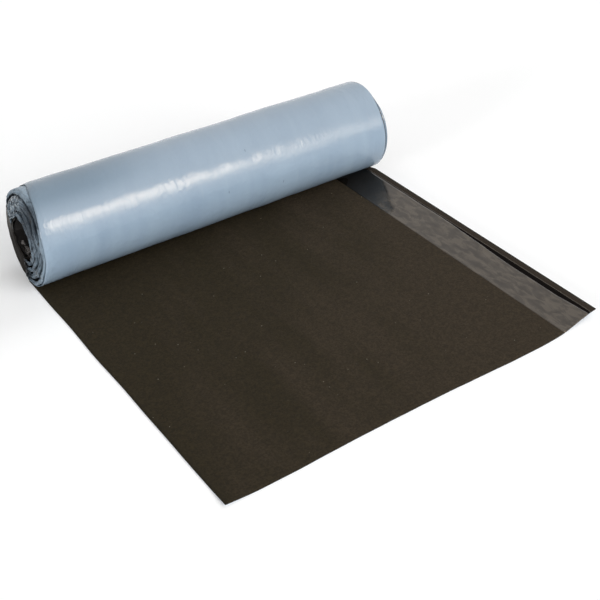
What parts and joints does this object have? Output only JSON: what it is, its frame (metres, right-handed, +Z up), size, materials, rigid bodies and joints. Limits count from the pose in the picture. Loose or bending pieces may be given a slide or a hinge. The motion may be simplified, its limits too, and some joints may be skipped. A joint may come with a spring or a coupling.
{
  "type": "roll of roofing underlayment",
  "caption": "Part-unrolled coreless roll of self-adhering roofing underlayment with its release film and selvage strip.",
  "frame": {"origin": "on the floor, at the centre of the part's footprint", "axes": "+X along the roll towards its selvage end, -Y the way the sheet is laid out from the roll, +Z up"},
  "size_m": [1, 1.005, 0.242],
  "materials": {
    "bitumen_membrane": "matt, finely sanded",
    "blue_release_film": "glossy film",
    "clear_selvage_film": "clear glossy film over the dark membrane"
  },
  "bodies": {
    "root": {"membrane": "bitumen_membrane", "release_film": "blue_release_film", "selvage_film": "clear_selvage_film"}
  },
  "joints": []
}
